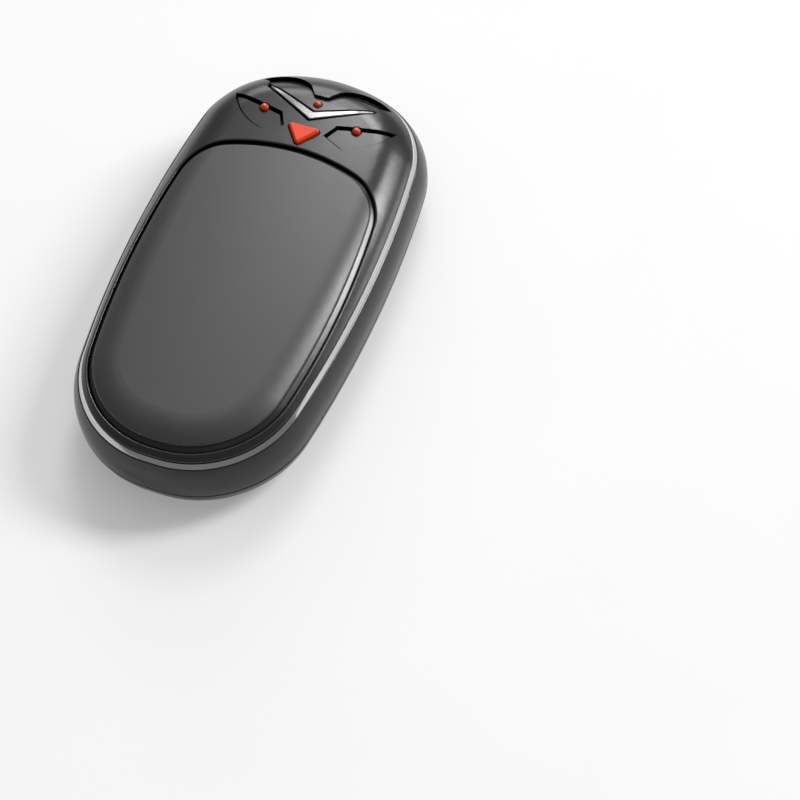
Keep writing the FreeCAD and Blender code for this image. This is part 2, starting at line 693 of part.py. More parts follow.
def tipped(name, drop):
    """The outside of the case moved down and tipped about the brow, lower towards the head."""
    copy = lowered(name, "(%s) - (brow_apex + brow_bar) * tan(brow_tilt)" % drop)
    copy.Placement.Rotation = FreeCAD.Rotation(vector(1, 0, 0), -number("brow_tilt"))
    bind(copy, {"Placement.Rotation.Angle": "-brow_tilt",
                "Placement.Base.y": "-case_height * sin(brow_tilt)"})
    return copy


forehead_floor = tipped("forehead_floor", "forehead_depth")
inlay_face = tipped("inlay_face", "inlay_sink")

rear_zone = slab("rear_zone", "-wall", "rear_height")
mid_zone = slab("mid_zone", "rear_height", "mid_top")
trim_zone = slab("trim_zone", "mid_top", trim_top)
frame_zone = slab("frame_zone", trim_top, above_case)


def case_outline(name, inset):
    sketch = flat_sketch(name)
    draw_case_oval(sketch, inset)
    return sketch


def plate_outline(name, inset):
    sketch = flat_sketch(name)
    draw_plate_oval(sketch, inset)
    return sketch


# The front frame's spigot reaches through the trim ring into the middle case's rim
rim_bore = common("rim_bore", prism("rim_prism", case_outline("rim_line", "rim_inset")),
                  slab("rim_zone", "mid_top - spigot_depth - fit_gap", above_case))

# Rear cover: the back tray, with a locating lip, snap hooks and ribs that cradle the cell

hook_side = "(case_width / 2 - %s + sqrt(%s^2 - (hook_spacing / 2)^2))" % (case_side_radius, case_side_radius)
hook_inner = "(%s - wall - rear_lip_inset - lip_thickness / 2)" % hook_side
hook_outer = "(%s - wall + hook_bite)" % hook_side
hook_bottom = "(rear_height + rear_lip_height - 2 * hook_height)"


def hook_blocks(name, room):
    """The four hooks, or the pockets that take them where room is given."""
    blocks = []
    width = "(%s - %s + (%s))" % (hook_outer, hook_inner, room)
    middle = "((%s + %s + (%s)) / 2)" % (hook_outer, hook_inner, room)
    for side in ("", "-"):
        for end in ("+", "-"):
            blocks.append(block("%s_%d" % (name, len(blocks) + 1), width, "hook_width + 2 * (%s)" % room,
                                "%s - (%s)" % (hook_bottom, room),
                                "%s + hook_height + (%s)" % (hook_bottom, room),
                                side + middle, "case_side_centre %s hook_spacing / 2" % end))
    return blocks


def make_rear_cover():
    blank = common("rear_blank", outer, rear_zone)
    tray = cut("rear_tray", blank, cavity)
    lip_outer = prism("rear_lip_outer", case_outline("rear_lip_line", "wall + rear_lip_inset"),
                      "rear_height + rear_lip_height")
    lip_inner = prism("rear_lip_inner", case_outline("rear_lip_core_line",
                                                     "wall + rear_lip_inset + lip_thickness"))
    socket_notch = block("rear_lip_notch", "socket_width + 2 * wall", "4 * wall", "rear_height", above_case,
                         "0", "case_length / 2 - 2 * wall")
    ring = common("rear_lip_blank", cut("rear_lip_ring", lip_outer, lip_inner), web_form)
    lip = cut("rear_lip", ring, socket_notch)
    rib_x = "(battery_width / 2 + rib_gap + rib_thickness / 2)"
    ribs = [block("rear_rib_" + name, "rib_thickness", "rib_length", "wall / 2", "wall + rib_height",
                  sign + rib_x, battery_middle) for name, sign in (("right", ""), ("left", "-"))]
    cover = fuse("rear_cover_solid", [tray, lip] + hook_blocks("rear_hook", "0") + ribs)
    return publish(round_seam("rear_cover_rounded", cover, rear_zone, outer, "parting_round"), "rear_cover")


# Middle case: the side wall, with screw lugs and the slot for the charge socket

def make_mid_case():
    shell = cut("mid_shell", cut("mid_hollow", common("mid_blank", outer, mid_zone), cavity), rim_bore)
    reach = "(case_width / 2)"
    head_lug = rod("head_lug", "lug_radius", lug_bottom, "lug_top", head_screw_x, "head_screw_y")
    head_web = block("head_web", reach, "2 * lug_radius", lug_bottom, "lug_top",
                     "%s + %s / 2" % (head_screw_x, reach), "head_screw_y")
    tail_lug = rod("tail_lug", "lug_radius", lug_bottom, "lug_top", "tail_screw_x", tail_screw_y)
    tail_web = block("tail_web", "2 * lug_radius", reach, lug_bottom, "lug_top",
                     "tail_screw_x", "%s - %s / 2" % (tail_screw_y, reach))
    right = common("right_lugs", fuse("right_lug_blank", [head_lug, head_web, tail_lug, tail_web]), web_form)
    solid = fuse("mid_solid", [shell, right, mirrored("left_lugs", right)])
    lug_holes = four_corners("lug_hole", "screw_radius + lug_hole_gap", lug_bottom + " - wall",
                             "lug_top + wall", *case_screw_places)
    solid = cut("mid_drilled", solid, group("lug_holes", lug_holes))
    solid = cut("mid_pocketed", solid, group("hook_pockets", hook_blocks("hook_pocket", "hook_gap")))
    slot = new_body("socket_slot")
    slot_sketch = new_sketch(slot, "socket_slot_line", "XZ_Plane", "-(case_length / 2 + wall)")
    draw_stadium(slot_sketch, "(socket_width + 2 * socket_gap)", "(socket_height + 2 * socket_gap)",
                 socket_centre)
    pad(slot, "socket_slot_pad", slot_sketch, "4 * wall")
    solid = cut("mid_with_slot", solid, slot)
    lower = round_seam("mid_lower_round", solid, rear_zone, outer, "parting_round")
    return publish(round_seam("mid_upper_round", lower, trim_zone, outer, "parting_round"), "mid_case")


# Trim ring: a bright band between the middle case and the front frame

def make_trim_ring():
    ring = cut("trim_solid", common("trim_blank", trim_form, trim_zone), rim_bore)
    return publish(ring, "trim_ring")


# Front frame: the crowned face with the plate's seat, the relief of the head and the posts behind it

def button_outline():
    sketch = flat_sketch("button_line")
    draw_corners(sketch, [("0", "button_apex_y"), ("button_half", "button_base_y"),
                          ("-button_half", "button_base_y")])
    return sketch


def eye_outline(name):
    sketch = flat_sketch(name)
    draw_corners(sketch, [("eye_inner_x", "eye_inner_y"), ("eye_low_x", "eye_low_y"),
                          ("eye_tip_x", "eye_tip_y"), ("eye_brow_x", "eye_brow_y")], {1: "eye_lower_arc"})
    return sketch


def brow_outline():
    sketch = flat_sketch("brow_line")
    draw_corners(sketch, [("0", "brow_apex"), ("brow_low_reach", "brow_low_tip"), ("brow_reach", "brow_tip"),
                          ("0", "brow_apex + brow_bar"), ("-brow_reach", "brow_tip"),
                          ("-brow_low_reach", "brow_low_tip")])
    return sketch


def forehead_outline():
    sketch = flat_sketch("forehead_line")
    half = [("forehead_reach", "forehead_end_y"), ("forehead_shoulder", "forehead_shoulder_y"),
            ("forehead_notch", "forehead_notch_y")]
    other_half = [("-" + x, y) for x, y in reversed(half)]
    draw_corners(sketch, [("0", "brow_apex + brow_bar / 2")] + half + other_half,
                 {1: "forehead_arc", 5: "forehead_arc"})
    return sketch


brow_line = brow_outline()
button_line = button_outline()
lens_places = {"left": ("-side_lens_x", "side_lens_y", "lens_radius", "lens_rise"),
               "right": ("side_lens_x", "side_lens_y", "lens_radius", "lens_rise"),
               "centre": ("0", "centre_lens_y", "centre_lens_radius", "centre_lens_rise")}
plate_prism = prism("plate_prism", plate_outline("plate_line", "0"))
seat_prism = prism("seat_prism", plate_outline("seat_line", "-plate_gap"))
opening_prism = prism("opening_prism", plate_outline("opening_line", "seat_width"))


def make_front_frame():
    blank = common("frame_blank", outer, frame_zone)
    seated = cut("frame_seated", blank, cut("seat_tool", seat_prism, seat_floor))
    lipped = round_seam("frame_lipped", seated, seat_prism, outer, "frame_lip_round")
    rimmed = round_seam("frame_rimmed", lipped, trim_zone, outer, "parting_round")
    spigot = common("frame_spigot", prism("spigot_prism", case_outline("spigot_line", "rim_inset + fit_gap")),
                    slab("spigot_zone", "mid_top - spigot_depth", trim_top))
    blank = fuse("frame_spigoted", [rimmed, spigot])
    shell = cut("frame_shell", cut("frame_hollow", blank, frame_core), opening_prism)

    case_posts = four_corners("case_post", "post_radius", "lug_top", above_case, *case_screw_places)
    board_posts = four_corners("board_post", "board_post_radius", "board_top", above_case,
                               *board_screw_places)
    posts = common("posts_trimmed", group("posts", case_posts + board_posts), post_form)
    frame = fuse("frame_solid", [shell, posts])

    eye_line = eye_outline("eye_line")
    eye_right = prism("eye_field", eye_line)
    eye_inside = prism("eye_inside", widened("eye_inside_line", eye_line, "-lid_line"))
    line_right = cut("lid_line_band", eye_right, eye_inside)
    eye_lowered = eye_outline("eye_lowered_line")
    bind(eye_lowered, {"Placement.Base.x": "lid_groove / 2", "Placement.Base.y": "-lid_groove"})
    lid_right = cut("lid_band", eye_right, prism("eye_lowered", eye_lowered))
    eyes = fuse("eye_fields", [eye_right, mirrored("eye_field_left", eye_right)])
    forehead = prism("forehead_field", forehead_outline())
    deep = fuse("deep_grooves", [lid_right, mirrored("lid_band_left", lid_right),
                                 prism("brow_channel", brow_line)])
    lines = fuse("lid_lines", [line_right, mirrored("lid_line_left", line_right)])
    frame = cut("frame_eyes", frame, cut("eye_tool", eyes, relief_floor))
    frame = cut("frame_forehead", frame, cut("forehead_tool", forehead, forehead_floor))
    frame = cut("frame_lines", frame, cut("line_tool", lines, line_floor))
    frame = cut("frame_grooves", frame, cut("deep_tool", deep, groove_floor))
    button_hole = round_upright("button_hole", prism("button_hole_sharp", widened(
        "button_hole_line", button_line, "button_gap")), "button_corner + button_gap")
    frame = cut("frame_button_hole", frame, button_hole)
    lens_holes = [rod("lens_hole_" + name, radius + " + lens_gap", "board_top", above_case, x, y)
                  for name, (x, y, radius, rise) in lens_places.items()]
    frame = cut("frame_lens_holes", frame, group("lens_holes", lens_holes))
    pilots = four_corners("case_pilot", "screw_radius + pilot_gap", "lug_top - wall",
                          lug_bottom + " + screw_length + seat_gap", *case_screw_places)
    pilots += four_corners("board_pilot", "board_screw_radius + pilot_gap", "board_top - wall",
                           board_bottom + " + board_screw_length + seat_gap", *board_screw_places)
    return publish(cut("frame_drilled", frame, group("pilot_holes", pilots)), "front_frame")


# Warming plate, its adhesive ring and the heater film behind it

def make_heat_plate():
    plate = cut("plate_solid", common("plate_blank", plate_prism, plate_face), plate_back)
    return publish(round_seam("plate_rounded", plate, plate_prism, plate_face, "plate_round"), "heat_plate")


def make_plate_adhesive():
    ring = cut("adhesive_ring", prism("adhesive_outer", plate_outline("adhesive_line", "plate_round")),
               opening_prism)
    solid = cut("adhesive_solid", common("adhesive_blank", ring, plate_back), seat_floor)
    return publish(solid, "plate_adhesive")


def make_heater_film():
    sheet_prism = prism("film_prism", plate_outline("film_line", "seat_width + film_gap"))
    return publish(cut("film_solid", common("film_blank", sheet_prism, plate_back), film_back), "heater_film")


# Brow inlay: a bright V-shaped bar in the brow channel

def make_brow_inlay():
    bar = prism("inlay_prism", widened("inlay_line", brow_line, "-inlay_gap"))
    solid = cut("inlay_solid", common("inlay_blank", bar, inlay_face), groove_floor)
    return publish(round_seam("inlay_rounded", solid, bar, inlay_face, "inlay_round"), "brow_inlay")


# Power button, with the switch under it

flange_top = "(%s - seat_gap)" % crown_height("0", button_centre, "frame_wall")
flange_bottom = "(%s - button_flange_height)" % flange_top
button_top = "(%s + button_rise)" % crown_height("0", button_centre)


def make_power_button():
    body = new_body("power_button_body")
    cap_sketch = new_sketch(body, "button_cap_line", offset=flange_bottom)
    draw_corners(cap_sketch, [("0", "button_apex_y"), ("button_half", "button_base_y"),
                              ("-button_half", "button_base_y")])
    cap = pad(body, "button_cap", cap_sketch, "%s - %s" % (button_top, flange_bottom))
    rounded = round_edges(body, "button_corners", cap,
                          lambda edge: edge.BoundBox.ZLength > number("button_rise"), "button_corner")
    level = number(button_top)
    bevel = body.newObject("PartDesign::Chamfer", "button_bevelled")
    bevel.Base = (rounded, ["Edge%d" % (index + 1) for index, edge in enumerate(rounded.Shape.Edges)
                            if edge.BoundBox.ZMin > level - touching])
    bind(bevel, {"Size": "button_bevel"})
    doc.recompute()
    flange_sketch = new_sketch(body, "button_flange_line", offset=flange_bottom)
    flange_sketch.addGeometry(Part.Circle(vector(0, number(button_centre), 0), plan_normal,
                                          number("button_half + button_flange")))
    place_point(flange_sketch, 0, 3, "0", button_centre)
    dimension(flange_sketch, "Radius", (0,), "button_half + button_flange")
    pad(body, "button_flange", flange_sketch, "button_flange_height")
    return publish(body, "power_button")


def make_tact_switch():
    body = new_body("tact_switch_body")
    outline = new_sketch(body, "switch_line", offset="board_top")
    draw_rectangle(outline, "switch_side", "switch_side", "0", button_centre)
    base = pad(body, "switch_block", outline, "switch_height")
    round_edges(body, "switch_corners", base, upright, "part_corner / 2")
    bore = new_sketch(body, "switch_bore_line", offset="board_top + switch_height")
    bore.addGeometry(Part.Circle(vector(0, number(button_centre), 0), plan_normal, number("plunger_radius")))
    place_point(bore, 0, 3, "0", button_centre)
    dimension(bore, "Radius", (0,), "plunger_radius + plunger_gap")
    pocket(body, "switch_bore", bore, "switch_height - switch_floor")
    return publish(body, "tact_switch")


def make_switch_plunger():
    plunger = rod("plunger", "plunger_radius", "board_top + switch_floor + button_travel + seat_gap",
                  flange_bottom, "0", button_centre)
    return publish(plunger, "switch_plunger")


# Indicator lenses and their lights

def make_indicator_lens(name, x, y, radius, rise):
    body = new_body("lens_" + name)
    profile = new_sketch(body, "lens_profile_" + name, "XZ_Plane")
    top = "(%s + %s)" % (crown_height(x, y), rise)
    shoulder = "(%s - 0.8 * %s)" % (top, radius)
    collar_top = "(%s - seat_gap)" % crown_height(x, y, "frame_wall")
    collar_bottom = "(%s - lens_collar_height)" % collar_top
    bottom = "(board_top + led_height + seat_gap)"
    dome = "(1.64 * %s / 1.6)" % radius
    collar = radius + " + lens_collar"
    draw_corners(profile, [("0", bottom), (radius, bottom), (radius, collar_bottom), (collar, collar_bottom),
                           (collar, collar_top), (radius, collar_top), (radius, shoulder), ("0", top)],
                 {6: dome})
    turned = body.newObject("PartDesign::Revolution", "lens_turned_" + name)
    turned.Profile = profile
    turned.ReferenceAxis = (profile, ["V_Axis"])
    turned.Angle = 360
    bind(body, {"Placement.Base.x": x, "Placement.Base.y": y})
    doc.recompute()
    return publish(body, "indicator_lens_" + name)


def make_indicator_leds():
    chips = [block("led_" + name, "led_length", "led_width", "board_top", "board_top + led_height", x, y)
             for name, (x, y, radius, rise) in lens_places.items()]
    return publish(group("led_group", chips), "indicator_leds")


# Control board and what is soldered to it

def make_control_board():
    outline = prism("board_prism", case_outline("board_line", "board_inset"), "board_top")
    field = block("board_field", "case_width", "board_end - board_start", board_bottom, "board_top",
                  "0", "(board_start + board_end) / 2")
    holes = four_corners("board_hole", "board_screw_radius + lug_hole_gap", board_bottom + " - wall",
                         "board_top + wall", *board_screw_places)
    board = cut("board_drilled", common("board_blank", outline, field), group("board_holes", holes))
    return publish(board, "control_board")


def make_charge_socket():
    shell = new_body("charge_socket_body")
    outside = new_sketch(shell, "socket_line", "XZ_Plane", "-" + socket_mouth)
    draw_stadium(outside, "socket_width", "socket_height", socket_centre)
    pad(shell, "socket_pad", outside, "socket_length")
    inside = new_sketch(shell, "socket_mouth_line", "XZ_Plane", "-" + socket_mouth)
    draw_stadium(inside, "(socket_width - 2 * socket_wall)", "(socket_height - 2 * socket_wall)",
                 socket_centre)
    pocket(shell, "socket_mouth", inside, "socket_length - socket_back", reverse=True)
    publish(shell, "charge_socket")
    tongue_back = "(%s - socket_length + socket_back)" % socket_mouth
    tongue = block("tongue", "tongue_width", "tongue_length", socket_centre + " - tongue_thickness / 2",
                   socket_centre + " + tongue_thickness / 2", "0", tongue_back + " + tongue_length / 2")
    return publish(tongue, "socket_tongue")


def board_part(name, side, height, x, y):
    """A square part with rounded corners on the underside of the control board."""
    body = new_body(name + "_body")
    outline = new_sketch(body, name + "_line", offset=board_bottom + " - (%s)" % height)
    draw_rectangle(outline, side, side, x, y)
    base = pad(body, name + "_pad", outline, height)
    round_edges(body, name + "_corners", base, upright, "part_corner")
    return publish(body, name)


def make_board_capacitors():
    row = [block("capacitor_%d" % (index + 1), "capacitor_width", "capacitor_length",
                 board_bottom + " - capacitor_height", board_bottom,
                 "%.1f * capacitor_spacing" % (index - 1.5), "capacitor_y") for index in range(4)]
    return publish(group("capacitor_group", row), "board_capacitors")


# Pouch cell, its pads and its protection board

def make_battery():
    body = new_body("battery_body")
    outline = new_sketch(body, "battery_line", offset=battery_bottom)
    draw_rectangle(outline, "battery_width", "battery_length", "0", battery_middle)
    base = pad(body, "battery_pad_block", outline, "battery_thickness")
    round_edges(body, "battery_rounded", base, lambda edge: True, "battery_round")
    terrace_bottom = battery_bottom + " + battery_round + battery_terrace_rise"
    terrace = new_sketch(body, "terrace_line", offset=terrace_bottom)
    draw_rectangle(terrace, "battery_width - 4 * battery_round", "battery_terrace + battery_round", "0",
                   "battery_end + (battery_terrace - battery_round) / 2")
    pad(body, "battery_terrace_pad", terrace, "battery_terrace_height")
    return publish(body, "battery_cell")


def rounded_sheet(name, width, length, bottom, thickness, y, corner):
    body = new_body(name + "_body")
    outline = new_sketch(body, name + "_line", offset=bottom)
    draw_rectangle(outline, width, length, "0", y)
    base = pad(body, name + "_pad", outline, thickness)
    round_edges(body, name + "_corners", base, upright, corner)
    return publish(body, name)


def make_protection_board():
    bottom = "(%s + battery_round + battery_terrace_rise + battery_terrace_height)" % battery_bottom
    guard = block("guard", "guard_width", "guard_thickness", bottom, bottom + " + guard_height", "0",
                  "battery_end + guard_gap + guard_thickness / 2")
    return publish(guard, "protection_board")


def make_pressure_foam():
    outline = prism("foam_prism", plate_outline("foam_line", "seat_width + film_gap + foam_inset"))
    length = "(foam_end - (%s - battery_length / 2))" % battery_middle
    field = block("foam_field", "case_width", length, sheet_top, above_case,
                  "0", "foam_end - %s / 2" % length)
    return publish(common("foam_solid", common("foam_blank", outline, field), film_back), "pressure_foam")


def make_thermistor():
    film_height = crown_height("thermistor_width / 2", "thermistor_y + thermistor_length / 2", foam_depth)
    top = "(%s - seat_gap)" % film_height
    bead = block("thermistor_bead", "thermistor_width", "thermistor_length",
                 top + " - thermistor_height", top, "0", "thermistor_y")
    return publish(bead, "thermistor")


# Leads: insulated wire along straight runs with tangent bends, each in its own upright plane

def draw_route(sketch, corners, levels):
    """Runs between corners, level or upright, joined by bends; levels holds the height of each level run."""
    points = [vector(number(y), number(z), 0) for y, z in corners]
    bend = number("lead_bend")
    units = [(end - start).normalize() for start, end in zip(points, points[1:])]
    starts = [points[0]] + [point + unit * bend for point, unit in zip(points[1:-1], units[1:])]
    ends = [point - unit * bend for point, unit in zip(points[1:-1], units)] + [points[-1]]
    runs = [sketch.addGeometry(Part.LineSegment(start, end)) for start, end in zip(starts, ends)]
    for run, unit in zip(runs, units):
        level = abs(unit.x) > abs(unit.y)
        sketch.addConstraint(Sketcher.Constraint("Horizontal" if level else "Vertical", run))
    quarter = math.pi / 2
    for index, corner in enumerate(points[1:-1]):
        before, after = units[index], units[index + 1]
        centre = corner - before * bend + after * bend
        left_turn = before.x * after.y - before.y * after.x > 0
        first = math.atan2(-after.y, -after.x) if left_turn else math.atan2(before.y, before.x)
        circle = Part.Circle(centre, plan_normal, bend)
        arc = sketch.addGeometry(Part.ArcOfCircle(circle, first, first + quarter))
        near, far = (1, 2) if left_turn else (2, 1)
        sketch.addConstraint(Sketcher.Constraint("Tangent", runs[index], 2, arc, near))
        sketch.addConstraint(Sketcher.Constraint("Tangent", arc, far, runs[index + 1], 1))
        dimension(sketch, "Radius", (arc,), "lead_bend")
    place_point(sketch, runs[0], 1, *corners[0])
    place_point(sketch, runs[-1], 2, *corners[-1])
    for run, height in levels.items():
        dimension(sketch, "DistanceY", (-1, 1, runs[run], 1), height)


def make_lead(name, x, corners, levels, role, section_offset, section_x, section_y):
    body = new_body(name + "_body")
    route = new_sketch(body, name + "_route", "YZ_Plane", x)
    draw_route(route, corners, levels)
    section = new_sketch(body, name + "_section", role, section_offset)
    section.addGeometry(Part.Circle(vector(number(section_x), number(section_y), 0), plan_normal,
                                    number("lead_radius")))
    place_point(section, 0, 3, section_x, section_y)
    dimension(section, "Radius", (0,), "lead_radius")
    doc.recompute()
    pipe = body.newObject("PartDesign::AdditivePipe", name + "_pipe")
    pipe.Profile = section
    pipe.Spine = (route, [])
    doc.recompute()
    return publish(body, name)


def make_battery_lead(name, x):
    start = "(battery_end + guard_gap + guard_thickness)"
    corners = [(start, "battery_lead_z"), ("battery_lead_y", "battery_lead_z"),
               ("battery_lead_y", board_bottom)]
    return make_lead(name, x, corners, {}, "XZ_Plane", "-" + start, x, "battery_lead_z")


def make_heater_lead(name, x):
    top = "(%s - lead_radius / 10)" % crown_height("heater_lead_x", "heater_lead_start", foam_depth)
    level = "(board_top + lead_bend + heater_lead_stub)"
    corners = [("heater_lead_start", top), ("heater_lead_start", level), ("heater_lead_y", level),
               ("heater_lead_y", "board_top")]
    return make_lead(name, x, corners, {1: level}, "XY_Plane", top, x, "heater_lead_start")


# Screws: the case screws hold the front frame to the middle case, the board screws hold the board

def screw_set(name, radius, head_radius, head_height, length, seat, upper, lower):
    shanks = four_corners(name + "_shank", radius, seat, "%s + %s" % (seat, length), upper, lower)
    heads = four_corners(name + "_head", head_radius, "%s - %s" % (seat, head_height), seat, upper, lower)
    screws = [fuse("%s_%d" % (name, index + 1), [shank, cap])
              for index, (shank, cap) in enumerate(zip(shanks, heads))]
    return publish(group(name + "_group", screws), name)


make_rear_cover()
make_mid_case()
make_trim_ring()
make_front_frame()
make_heat_plate()
make_plate_adhesive()
make_heater_film()
make_brow_inlay()
make_power_button()
make_tact_switch()
make_switch_plunger()
for lens_name, lens_sizes in lens_places.items():
    make_indicator_lens(lens_name, *lens_sizes)
make_indicator_leds()
make_control_board()
make_charge_socket()
board_part("controller_chip", "chip_side", "chip_height", "chip_x", "chip_y")
board_part("power_inductor", "coil_side", "coil_height", "coil_x", "coil_y")
make_board_capacitors()
make_battery()
rounded_sheet("battery_pad", "battery_width - 2 * battery_pad_inset",
              "battery_length - 2 * battery_pad_inset", "wall", "battery_pad_thickness", battery_middle,
              "battery_round")
rounded_sheet("insulation_sheet", "battery_width - 2 * sheet_inset", "battery_length - 2 * sheet_inset",
              battery_top, "sheet_thickness", battery_middle, "battery_round")
make_protection_board()
make_pressure_foam()
make_thermistor()
make_battery_lead("battery_lead_positive", "battery_lead_x")
make_battery_lead("battery_lead_negative", "-battery_lead_x")
make_heater_lead("heater_lead_right", "heater_lead_x")
make_heater_lead("heater_lead_left", "-heater_lead_x")
screw_set("case_screws", "screw_radius", "screw_head_radius", "screw_head_height", "screw_length",
          lug_bottom, *case_screw_places)
screw_set("board_screws", "board_screw_radius", "board_screw_head_radius", "board_screw_head_height",
          "board_screw_length", board_bottom, *board_screw_places)

doc.recompute()
failed = [item.Name for item in doc.Objects if "Invalid" in item.State or "Error" in item.State]
if failed:
    raise RuntimeError("failed objects: " + ", ".join(failed))
for node in nodes:
    if node.Shape.isNull() or not node.Shape.isValid():
        raise RuntimeError("bad solid: " + node.Label)

os.makedirs("parts", exist_ok=True)
for node in nodes:
    node.Shape.exportStep("parts/%s.step" % node.Label)
print("%d pieces written" % len(nodes))
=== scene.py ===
import math

import bpy
from mathutils import Matrix, Quaternion, Vector

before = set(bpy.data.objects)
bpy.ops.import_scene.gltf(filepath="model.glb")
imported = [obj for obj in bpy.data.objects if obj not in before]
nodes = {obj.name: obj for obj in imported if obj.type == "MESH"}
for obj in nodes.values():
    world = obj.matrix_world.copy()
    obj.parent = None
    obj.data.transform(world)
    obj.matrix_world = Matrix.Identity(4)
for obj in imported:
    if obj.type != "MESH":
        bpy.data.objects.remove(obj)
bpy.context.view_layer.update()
scene = bpy.context.scene
mm = 0.001
print("frame loaded,", len(nodes), "nodes")


# node helpers

def startMaterial(name):
    material = bpy.data.materials.new(name)
    material.use_nodes = True
    return material, material.node_tree.nodes["Principled BSDF"]


def addNode(material, kind, **settings):
    node = material.node_tree.nodes.new(kind)
    for key, value in settings.items():
        setattr(node, key, value)
    return node


def wire(material, start, end):
    material.node_tree.links.new(start, end)


def placeOf(material):
    return addNode(material, "ShaderNodeTexCoord").outputs["Object"]


def noiseAt(material, size, detail, stretch=(1, 1, 1)):
    mapping = addNode(material, "ShaderNodeMapping")
    mapping.inputs["Scale"].default_value = stretch
    wire(material, placeOf(material), mapping.inputs["Vector"])
    noise = addNode(material, "ShaderNodeTexNoise")
    noise.inputs["Scale"].default_value = 1 / size
    noise.inputs["Detail"].default_value = detail
    wire(material, mapping.outputs["Vector"], noise.inputs["Vector"])
    return noise.outputs["Fac"]


# most of the noise lies between these levels
noiseLow = 0.3
noiseHigh = 0.7


def spread(material, source, low, high):
    span = addNode(material, "ShaderNodeMapRange")
    span.inputs["From Min"].default_value = noiseLow
    span.inputs["From Max"].default_value = noiseHigh
    span.inputs["To Min"].default_value = low
    span.inputs["To Max"].default_value = high
    wire(material, source, span.inputs["Value"])
    return span.outputs["Result"]


def twoTone(material, source, first, second):
    mix = addNode(material, "ShaderNodeMix", data_type="RGBA")
    mix.inputs["A"].default_value = (*first, 1)
    mix.inputs["B"].default_value = (*second, 1)
    wire(material, spread(material, source, 0, 1), mix.inputs["Factor"])
    return mix.outputs["Result"]


# what a finish has unless its look says otherwise
plainLook = dict(drift=0.12, blotch=12 * mm, haze=3 * mm, stretch=(1, 1, 1), grainStrength=0.3, metal=0,
                 ior=1.5, coat=0, coatRough=0.1, crevice=0, softEdge=0)
noiseDetail = dict(blotch=3, haze=4, grain=2)
# settings of the painted shade in grooves and near the floor
paintedShadeLook = dict(samples=24, tone=0.1, shutGloss=0.04, openGloss=0.5)
edgeSamples = 4


# painted shade: where ambient occlusion finds nearby surfaces, in narrow grooves and low down near the floor,
# colour and gloss are darkened
def paintCreviceShade(material, shader, look, colour):
    depth = addNode(material, "ShaderNodeAmbientOcclusion", samples=paintedShadeLook["samples"])
    depth.inputs["Distance"].default_value = look["crevice"]
    openness = addNode(material, "ShaderNodeMapRange")
    openness.inputs["From Min"].default_value = look["shut"]
    openness.inputs["From Max"].default_value = look["open"]
    wire(material, depth.outputs["AO"], openness.inputs["Value"])
    shade = addNode(material, "ShaderNodeMix", data_type="RGBA")
    shade.inputs["A"].default_value = (*[c * paintedShadeLook["tone"] for c in look["colour"]], 1)
    wire(material, openness.outputs["Result"], shade.inputs["Factor"])
    wire(material, colour, shade.inputs["B"])
    gloss = addNode(material, "ShaderNodeMapRange")
    gloss.inputs["To Min"].default_value = paintedShadeLook["shutGloss"]
    gloss.inputs["To Max"].default_value = paintedShadeLook["openGloss"]
    wire(material, openness.outputs["Result"], gloss.inputs["Value"])
    wire(material, gloss.outputs["Result"], shader.inputs["Specular IOR Level"])
    return shade.outputs["Result"]


def finish(name, ownLook):
    look = dict(plainLook, **ownLook)
    material, shader = startMaterial(name)
    blotches = noiseAt(material, look["blotch"], noiseDetail["blotch"])
    darker = [c * (1 - look["drift"]) for c in look["colour"]]
    lighter = [c * (1 + look["drift"]) for c in look["colour"]]
    colour = twoTone(material, blotches, darker, lighter)
    # a look with a crevice reach gets painted shade
    if look["crevice"]:
        colour = paintCreviceShade(material, shader, look, colour)
    wire(material, colour, shader.inputs["Base Color"])
    haze = noiseAt(material, look["haze"], noiseDetail["haze"], look["stretch"])
    roughness = spread(material, haze, look["rough"] - look["roughDrift"], look["rough"] + look["roughDrift"])
    wire(material, roughness, shader.inputs["Roughness"])
    bump = addNode(material, "ShaderNodeBump")
    bump.inputs["Strength"].default_value = look["grainStrength"]
    bump.inputs["Distance"].default_value = look["grainDepth"]
    grain = noiseAt(material, look["grain"], noiseDetail["grain"], look["stretch"])
    wire(material, grain, bump.inputs["Height"])
    if look["softEdge"]:
        edge = addNode(material, "ShaderNodeBevel", samples=edgeSamples)
        edge.inputs["Radius"].default_value = look["softEdge"]
        wire(material, edge.outputs["Normal"], bump.inputs["Normal"])
    wire(material, bump.outputs["Normal"], shader.inputs["Normal"])
    shader.inputs["Metallic"].default_value = look["metal"]
    shader.inputs["IOR"].default_value = look["ior"]
    shader.inputs["Coat Weight"].default_value = look["coat"]
    shader.inputs["Coat Roughness"].default_value = look["coatRough"]
    return material


def dress(material, *names):
    for name in names:
        nodes[name].data.materials.clear()
        nodes[name].data.materials.append(material)


# case: satin black moulding with a very fine spark texture
caseLook = dict(colour=(0.009, 0.009, 0.0095), rough=0.24, roughDrift=0.012, grain=0.16 * mm,
                grainDepth=0.003 * mm)
dress(finish("caseSatin", caseLook), "mid_case")
# the rear cover gets painted shade on its underside near the floor
dress(finish("rearSatin", dict(caseLook, crevice=6 * mm, shut=0.5, open=0.85)), "rear_cover")

# the frame gets painted shade in its grooves and relief recesses
frameLook = dict(colour=(0.012, 0.012, 0.0125), rough=0.26, roughDrift=0.012, grain=0.16 * mm,
                 grainDepth=0.003 * mm, crevice=1.5 * mm, shut=0.50, open=0.78)
dress(finish("frameSatin", frameLook), "front_frame")

trimLook = dict(colour=(0.52, 0.52, 0.53), drift=0.05, rough=0.09, roughDrift=0.03, grain=0.4 * mm,
                grainDepth=0.002 * mm, metal=1)
dress(finish("trimChrome", trimLook), "trim_ring")

